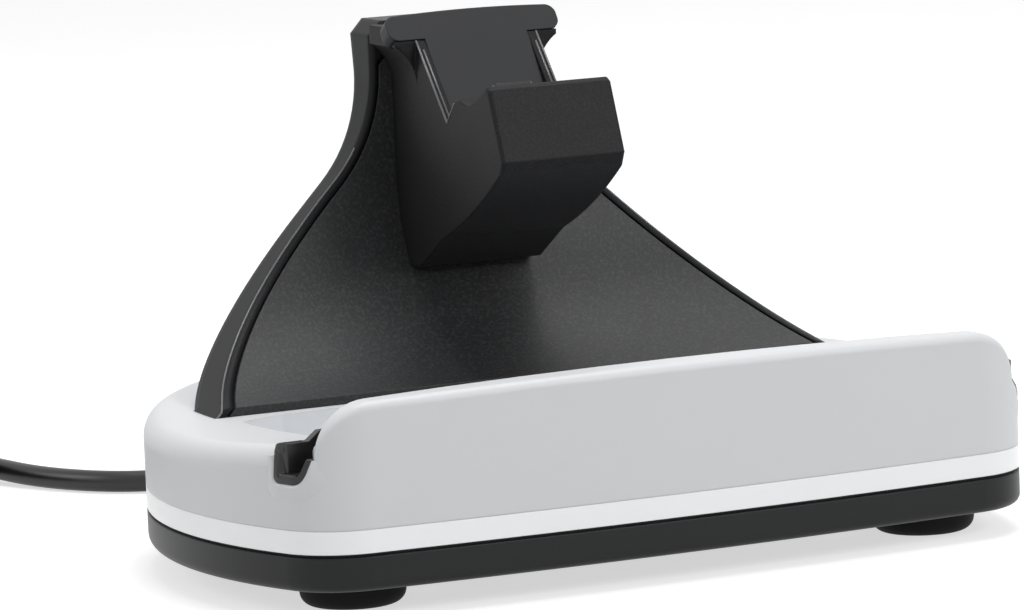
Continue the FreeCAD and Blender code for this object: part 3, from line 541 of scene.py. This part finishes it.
# Ends of the console's channel: the liner shows in a rounded mouth with a bevelled rim
channelEnd = {
    "cornerRun": 1.1,
    "plainDepth": 19.0,     # behind the mouth, where the shell's side is unbroken
    "plainHeight": 18.5,    # below the mouth
    "edgeTop": 29.0,        # the rounded edge is followed up to here
    "castFrom": 120.0,      # rays start this far from the middle
    "tip": {    # path as depths and heights, section as offsets from it and insets from the side
        "path": ((12.0, 30.3), (14.2, 29.9), (13.35, 23.4), (8.5, 23.2), (7.2, 24.9), (6.5, 27.6)),
        "section": ((0.1, 3.4), (0.1, 0.1), (-0.3, -0.12), (-1.5, -0.12), (-1.8, 0.25),
                    (-1.8, 3.4)),
        "widths": ((0.0, 1.0), (0.65, 1.0), (0.8, 0.6), (1.0, 0.5)),    # along the path
    },
    "rim": {
        "path": ((14.0, 28.0), (13.35, 23.4), (8.5, 23.2), (7.2, 24.9), (6.5, 27.6)),
        "section": ((0.0, 3.4), (0.0, 0.0), (0.2, -0.2), (0.6, -0.28), (1.3, -0.2), (2.9, -0.06),
                    (3.3, 0.1), (3.3, 3.4)),
        "widths": ((0.0, 0.3), (0.25, 1.0), (0.8, 1.0), (1.0, 0.5)),
    },
    "follows": {-1: 0.35, 1: 0.9},    # share of the shell's rounding taken, left and right
}
shellSurface = surfaceOf("base_shell")


def sideOfShell(depth, height):
    start = inFrame((-channelEnd["castFrom"], depth, height))
    return shellSurface.ray_cast(start, Vector((1, 0, 0)))[0].x / mm


def roundedPath(points, run, steps=5):
    path = [Vector(points[0])]
    for before, corner, after in zip(points, points[1:], points[2:]):
        corner = Vector(corner)
        first = corner + (Vector(before) - corner).normalized() * run
        last = corner + (Vector(after) - corner).normalized() * run
        for i in range(steps + 1):
            t = i / steps
            path.append((1 - t) ** 2 * first + 2 * t * (1 - t) * corner + t ** 2 * last)
    path.append(Vector(points[-1]))
    return path


def between(pairs, place):    # straight lines between given pairs
    for (low, first), (high, last) in zip(pairs, pairs[1:]):
        if place <= high:
            return first + (last - first) * (place - low) / (high - low)
    return pairs[-1][1]


def mouthSections(look, hand):
    path = roundedPath(look["path"], channelEnd["cornerRun"])
    plain = sideOfShell(channelEnd["plainDepth"], channelEnd["plainHeight"])
    sections = []
    for i, spot in enumerate(path):
        along = (path[min(i + 1, len(path) - 1)] - path[max(i - 1, 0)]).normalized()
        outward = Vector((-along.y, along.x)) * between(look["widths"], i / (len(path) - 1))
        loop = []
        for offset, inset in look["section"]:
            depth, height = spot + outward * offset
            edgeHeight = min(height, channelEnd["edgeTop"])
            rounding = sideOfShell(channelEnd["plainDepth"], edgeHeight) - plain
            x = sideOfShell(depth, channelEnd["plainHeight"]) + inset
            x += channelEnd["follows"][hand] * rounding
            loop.append(inFrame((-x * hand, depth, height)))
        sections.append(loop)
    return sections


def makeChannelEnds(name, look, finish):
    bm = bmesh.new()
    for hand in (-1, 1):
        loftInto(bm, mouthSections(look, hand))
    return paint(newMesh(name, bm), finishes[finish])


seat(makeChannelEnds("channelRims", channelEnd["rim"], "white_shell"), "white_shell")
seat(makeChannelEnds("channelTips", channelEnd["tip"], "black_liner"), "black_liner")
print("channel ends set")


# Fine beads along the open edges of the cradle's side walls and the front edges of the upright,
# light grey to paint highlight lines there
cradleBead = {
    "radius": 0.22,
    "sides": 10,
    "runs": (    # distance from the middle, then depths and heights
        (12.2, ((78.9, 89.85), (67.0, 75.65), (63.65, 79.45))),
        (11.4, ((77.5, 88.2), (67.1, 75.75), (63.7, 79.4))),
    ),
}
rimBead = {
    "radius": 0.2,
    "sides": 10,
    "heights": (27.2, 70.0),
    "points": 34,
    "search": (5.0, 80.0),    # distances from the middle, on the cover and past it
    "closeness": 0.01,        # at which the search ends
    "inside": 0.12,           # from the cover's outermost point
    "castFrom": 50.0,         # rays start this far in front of the base
}
coverSurface = surfaceOf("stand_rear_cover")


def frontOfCover(x, height):
    start = inFrame((-x, -rimBead["castFrom"], height))
    return coverSurface.ray_cast(start, Vector((0, 1, 0)))[0]


def rimRun():    # the cover's outer front edge, found from the front
    low, high = rimBead["heights"]
    run = []
    for i in range(rimBead["points"]):
        height = low + (high - low) * i / (rimBead["points"] - 1)
        on, past = rimBead["search"]
        while past - on > rimBead["closeness"]:
            middle = (on + past) / 2
            if frontOfCover(middle, height):
                on = middle
            else:
                past = middle
        x = on - rimBead["inside"]
        run.append((x, (frontOfCover(x, height).y - frontFace) / mm, height))
    return run


def makeBeads(name, runs, look):    # the runs are given for the right-hand side
    bm = bmesh.new()
    for hand in (-1, 1):
        for run in runs:
            spots = [bm.verts.new(inFrame((hand * x, depth, height))) for x, depth, height in run]
            for pair in zip(spots, spots[1:]):
                bm.edges.new(pair)
    values = {"Radius": look["radius"] * mm, "Sides": look["sides"],
              "Material": finishes["painted_highlight_edge"]}
    return grow(plainMesh(name, bm), edgeBeadTree, values)


wallRuns = [[(x, *spot) for spot in run] for x, run in cradleBead["runs"]]
seat(makeBeads("cradleHighlightBeads", wallRuns, cradleBead), "black_cradle")
seat(makeBeads("rimHighlightBeads", [rimRun()], rimBead), "black_rim")
print("cradle and upright edged")


# Screws under the base, with crossed slots
baseScrew = {
    "places": ((-42, 24), (42, 24), (-30, 99), (30, 99)),
    "headFace": 4.75,
    "edge": 0.12 * mm,
    "sizes": {"Head Radius": 2.3 * mm, "Head Height": 1.5 * mm, "Shank Radius": 1.2 * mm,
              "Length": 11.9 * mm, "Slot": (2.7 * mm, 0.55 * mm, 1.6 * mm),
              "Cross Slot": (0.55 * mm, 2.7 * mm, 1.6 * mm), "Seed": 7},
}


def makeBaseScrews():
    bm = bmesh.new()
    for x, depth in baseScrew["places"]:
        bm.verts.new(inFrame((x, depth, baseScrew["headFace"])))
    values = {**baseScrew["sizes"], "Material": finishes["screw_steel"]}
    return grow(plainMesh("baseScrews", bm), screwSetTree, values, baseScrew["edge"])


baseScrews = seat(makeBaseScrews(), "screw_steel", "base_screws")
print("screws set:", len(baseScrews.data.polygons), "faces")


# Ribbed strain relief where the lead leaves the base
strainRelief = {
    "x": -16.0,
    "height": 8.05,
    "collar": ((105.8, 2.6), (108.9, 2.6), (109.0, 3.0), (109.2, 3.1), (110.0, 3.1), (110.2, 3.0),
               (110.3, 2.6)),    # depths and radii
    "ribs": 5,
    "firstRib": 110.6,
    "ribStep": 1.08,
    "ribWidth": 0.62,
    "ribRadius": (2.95, 2.6),
    "ribFlank": 0.06,
    "ribCorner": (0.1, 0.05),    # its run and its drop
    "grooveDepth": 0.32,
    "end": 116.0,
    "steps": 32,
}


def reliefProfile():
    look = strainRelief
    wide, narrow = look["ribRadius"]
    flank = look["ribFlank"]
    run, drop = look["ribCorner"]
    profile = list(look["collar"])
    for i in range(look["ribs"]):
        start = look["firstRib"] + i * look["ribStep"]
        end = start + look["ribWidth"]
        radius = wide + (narrow - wide) * i / (look["ribs"] - 1)
        groove = radius - look["grooveDepth"]
        profile += [(start - flank, groove), (start, radius - drop), (start + run, radius),
                    (end - run, radius), (end, radius - drop), (end + flank, groove)]
    profile.append((look["end"], narrow - look["grooveDepth"]))
    return profile


def makeStrainRelief():
    x, height, steps = strainRelief["x"], strainRelief["height"], strainRelief["steps"]
    turns = [math.tau * i / steps for i in range(steps)]
    sections = []
    for depth, radius in reliefProfile():
        sections.append([inFrame((x + radius * math.cos(a), depth, height + radius * math.sin(a)))
                         for a in turns])
    return paint(loft("leadRelief", sections), finishes["cord_jacket"])


leadRelief = seat(makeStrainRelief(), "cord_jacket", "cord_grommet")


# Hook-and-loop strap that ties the coil
coilTie = {
    "centre": (-95.5, 211.7, 5.0),
    "width": 9.0,
    "span": 22.6,
    "tall": 10.0,
    "cornerRadius": 3.2,
    "cornerSteps": 6,
    "thick": 0.8,
    "flap": (3, 14),    # the loop points that the free end lies over
    "flapLift": (0.03, 0.55),
}


def strapSections(loop, inner, outer):
    x, depth, height = coilTie["centre"]
    half = coilTie["width"] / 2
    sections = []
    for i, (along, up) in enumerate(loop):
        before, after = Vector(loop[i - 1]), Vector(loop[(i + 1) % len(loop)])
        run = (after - before).normalized()
        out = Vector((run.y, -run.x))
        corners = ((-half, outer), (half, outer), (half, inner), (-half, inner))
        sections.append([inFrame((x + side, depth + along + out.x * far, height + up + out.y * far))
                         for side, far in corners])
    return sections


def makeCoilTie():
    loop = roundedLoop(coilTie["span"], coilTie["tall"], coilTie["cornerRadius"],
                       coilTie["cornerSteps"])
    bm = bmesh.new()
    loftInto(bm, strapSections(loop, -coilTie["thick"], 0.0), closed=True)
    first, last = coilTie["flap"]
    loftInto(bm, strapSections(loop, *coilTie["flapLift"])[first:last])
    return paint(newMesh("coilTie", bm), finishes["cord_tie"])


tieStrap = seat(makeCoilTie(), "cord_tie", "cord_tie")


# Plug at the far end of the lead
supplyPlug = {
    "x": -120.7,
    "height": 4.0,
    "grip": (    # depth, width, height and corner radius
        (123.8, 13.6, 6.6, 1.6), (124.1, 14.6, 7.4, 1.9), (124.8, 15.4, 7.9, 2.1),
        (126.0, 15.6, 8.0, 2.2), (138.5, 15.6, 8.0, 2.2), (141.0, 14.6, 7.8, 2.6),
        (143.5, 11.6, 7.2, 2.9), (145.5, 8.8, 6.6, 3.0), (147.0, 7.2, 6.2, 2.9),
        (148.6, 6.2, 5.8, 2.8), (150.3, 5.6, 5.4, 2.6), (150.8, 4.9, 4.9, 2.4),
    ),
    "gripSteps": 6,
    "ribs": {"Count": 6, "Size": (9.6 * mm, 0.9 * mm, 0.7 * mm), "Step": (0, 1.7 * mm, 0),
             "Turn": (0, 0, 0)},
    "firstRib": (0.0, 128.0, 7.85),    # from the plug's middle line
    "ribEdge": 0.25 * mm,
    "shell": (12.0, 4.5, 0.55),    # width, height and corner radius
    "shellSteps": 3,
    "shellRun": (111.8, 116.0, 118.6, 123.8),    # the windows lie between the middle two
    "windows": ((1.4, 4.0), (-4.0, -1.4)),
    "wall": 0.35,
    "contacts": {"Count": 4, "Size": (1.1 * mm, 8.0 * mm, 0.16 * mm), "Step": (2.4 * mm, 0, 0),
                 "Turn": (0, 0, 0)},
    "firstContact": (-3.6, 117.6, 3.95),
    "contactEdge": 0.05 * mm,
}


def onPlug(x, depth, height):    # x counts from the plug's middle line
    return inFrame((supplyPlug["x"] + x, depth, height))


def makePlugGrip():
    sections = []
    for depth, width, height, radius in supplyPlug["grip"]:
        loop = roundedLoop(width, height, radius, supplyPlug["gripSteps"])
        sections.append([onPlug(x, depth, supplyPlug["height"] + z) for x, z in loop])
    return paint(loft("plugGrip", sections), finishes["cord_jacket"])


def makeGripRibs():
    values = {**supplyPlug["ribs"], "Start": onPlug(*supplyPlug["firstRib"]),
              "Material": finishes["cord_jacket"]}
    return barRow("gripRibs", values, supplyPlug["ribEdge"])


def shellLoop():    # the plug's shell, with extra points at the windows' sides
    width, tall, radius = supplyPlug["shell"]
    sides = [x for window in supplyPlug["windows"] for x in sorted(window, reverse=True)]
    corners = roundedLoop(width, tall, radius, supplyPlug["shellSteps"])
    quarter = len(corners) // 4
    return (corners[:quarter] + [(x, tall / 2) for x in sides] + corners[quarter:3 * quarter]
            + [(x, -tall / 2) for x in reversed(sides)] + corners[3 * quarter:])


def makePlugShell():
    loop = shellLoop()
    bm = bmesh.new()
    rings = [[bm.verts.new(onPlug(x, depth, supplyPlug["height"] + z)) for x, z in loop]
             for depth in supplyPlug["shellRun"]]
    for run, (near, far) in enumerate(zip(rings, rings[1:])):
        for i, (x, z) in enumerate(loop):
            j = (i + 1) % len(loop)
            span = tuple(sorted((x, loop[j][0])))
            if run != 1 or span not in supplyPlug["windows"]:
                bm.faces.new((near[i], near[j], far[j], far[i]))
    piece = newMesh("plugShell", bm)
    wall = piece.modifiers.new("wall", "SOLIDIFY")
    wall.thickness = supplyPlug["wall"] * mm
    wall.offset = -1
    return paint(settle(piece), finishes["plug_steel"])


def makePlugContacts():
    values = {**supplyPlug["contacts"], "Start": onPlug(*supplyPlug["firstContact"]),
              "Material": finishes["screw_steel"]}
    return barRow("plugContacts", values, supplyPlug["contactEdge"])


plugGrip = seat(makePlugGrip(), "cord_jacket", "supply_plug_grip")
gripRibs = seat(makeGripRibs(), "cord_jacket")
plugShell = seat(makePlugShell(), "plug_steel", "supply_plug_shell")
plugContacts = seat(makePlugContacts(), "plug_steel")
print("lead's fittings made")


# Supply lead: a straight start, a loose curve on the table and a tied coil
lead = {
    "diameter": 4.2 * mm,
    "length": 1.45,
    "route": ((-16, 116, 8.05), (-16, 126, 8.05), (-19.3, 136, 6.0), (-27, 144.5, 3.2),
              (-38, 150.5, 2.1), (-47.5, 157.5, 2.1), (-55, 171.5, 2.1), (-59.7, 186.5, 2.9)),
    "coilCentre": (-95.5, 186.5),
    "outerTurn": 33.6,
    "innerTurn": 16.8,
    "turnsPerLayer": 4,
    "layerHeights": (2.9, 7.1),
    "layerRise": 180.0,    # degrees over which the lead climbs to the upper layer
    "joinAngle": 22.0,
    "leaveAngle": 196.0,
    "pointsPerTurn": 20,
    "tail": ((-120.7, 160.0, 4.6), (-120.7, 150.8, 4.0)),
}


def coilPoint(angle, radius, height):
    a = math.radians(angle)
    stretch = 1 / math.cos(math.pi / lead["pointsPerTurn"])    # the spline cuts inside its points
    return (lead["coilCentre"][0] + radius * stretch * math.cos(a),
            lead["coilCentre"][1] + radius * stretch * math.sin(a), height)


def coilPoints():
    step = 360 / lead["pointsPerTurn"]
    low, high = lead["layerHeights"]
    wide, narrow = lead["outerTurn"], lead["innerTurn"]
    sweep = 360 * lead["turnsPerLayer"]
    rise = lead["layerRise"]
    last = lead["joinAngle"] + 2 * sweep + rise
    last += (lead["leaveAngle"] - last) % 360 - 360
    turned = lead["joinAngle"]
    points = []
    while turned < last:
        gone = turned - lead["joinAngle"]
        inward = min(gone / sweep, 1.0)
        outward = max(0.0, gone - sweep - rise) / sweep
        climb = min(max((gone - sweep) / rise, 0.0), 1.0)
        radius = wide + (narrow - wide) * (inward - min(outward, 1.0))
        points.append(coilPoint(turned, radius, low + (high - low) * climb))
        turned += step
    return points


def makeLead():
    data = bpy.data.curves.new("supplyLead", "CURVE")
    data.dimensions = "3D"
    data.bevel_depth = lead["diameter"] / 2
    data.bevel_resolution = 5
    data.use_fill_caps = True
    data.resolution_u = 6
    points = list(lead["route"]) + coilPoints() + list(lead["tail"])
    spline = data.splines.new("NURBS")
    spline.points.add(len(points) - 1)
    for control, point in zip(spline.points, points):
        control.co = (*inFrame(point), 1)
    spline.order_u = 3
    spline.use_endpoint_u = True
    spline.use_smooth = True
    data.materials.append(finishes["cord_jacket"])
    return link(bpy.data.objects.new("supplyLead", data))


supplyLead = seat(makeLead(), "cord_jacket", "supply_cord", "cord_coil", "cord_tail")
print("lead laid:", len(supplyLead.data.splines[0].points), "points")


# Plain soft studio: white surroundings and soft lamps above, in front and at the left
studio = {
    "surround": 0.40,
    "floorSize": 30.0,
    "floorDrop": 0.1 * mm,
    "floorColour": (0.62, 0.62, 0.62),
    "floorRoughness": 0.9,
    "floorLift": 0.62,
    "lamps": {
        "topLamp": {"place": (0.12, 0.04, 1.05), "size": 0.55, "power": 5.3},
        "frontLamp": {"place": (0.6, -1.1, 0.75), "size": 0.5, "power": 6.2},
        "sideLamp": {"place": (-1.0, 0.3, 0.7), "size": 0.5, "power": 2.5},
    },
}


def seenDirectly(tree):    # 1 for what the camera, a reflection or glass sees
    rays = tree.nodes.new("ShaderNodeLightPath").outputs
    seen = mathNode(tree, "MAXIMUM", rays["Is Camera Ray"], rays["Is Glossy Ray"])
    return mathNode(tree, "MAXIMUM", seen, rays["Is Transmission Ray"])


def makeSurround():
    world = bpy.data.worlds.new("surround")
    bpy.context.scene.world = world
    world.use_nodes = True
    tree = world.node_tree
    lighting = tree.nodes["Background"]
    lighting.inputs["Color"].default_value = (1, 1, 1, 1)
    lighting.inputs["Strength"].default_value = studio["surround"]
    seen = tree.nodes.new("ShaderNodeBackground")
    seen.inputs["Color"].default_value = (1, 1, 1, 1)
    mix = tree.nodes.new("ShaderNodeMixShader")
    tree.links.new(seenDirectly(tree), mix.inputs["Fac"])
    tree.links.new(lighting.outputs["Background"], mix.inputs[1])
    tree.links.new(seen.outputs["Background"], mix.inputs[2])
    tree.links.new(mix.outputs["Shader"], tree.nodes["World Output"].inputs["Surface"])


def makeFloor():
    bm = bmesh.new()
    bmesh.ops.create_grid(bm, x_segments=1, y_segments=1, size=studio["floorSize"] / 2,
                          matrix=Matrix.Translation((0, 0, -studio["floorDrop"])))
    floor = newMesh("floor", bm, smooth=False)
    material = bpy.data.materials.new("paleFloor")
    material.use_nodes = True
    tree = material.node_tree
    shader = tree.nodes["Principled BSDF"]
    shader.inputs["Base Color"].default_value = (*studio["floorColour"], 1)
    shader.inputs["Roughness"].default_value = studio["floorRoughness"]
    shader.inputs["Specular IOR Level"].default_value = 0.0
    shader.inputs["Emission Color"].default_value = (1, 1, 1, 1)
    lift = mathNode(tree, "MULTIPLY", seenDirectly(tree), studio["floorLift"])
    tree.links.new(lift, shader.inputs["Emission Strength"])
    floor.data.materials.append(material)


def makeLamps():
    target = (baseLow + baseHigh) / 2
    for name, look in studio["lamps"].items():
        data = bpy.data.lights.new(name, "AREA")
        data.shape = "SQUARE"
        data.size = look["size"]
        data.energy = look["power"]
        lamp = link(bpy.data.objects.new(name, data))
        lamp.location = look["place"]
        lamp.rotation_euler = (target - lamp.location).to_track_quat("-Z", "Y").to_euler()


makeSurround()
makeFloor()
makeLamps()
bpy.context.scene.view_settings.view_transform = "Standard"
print("studio lit")
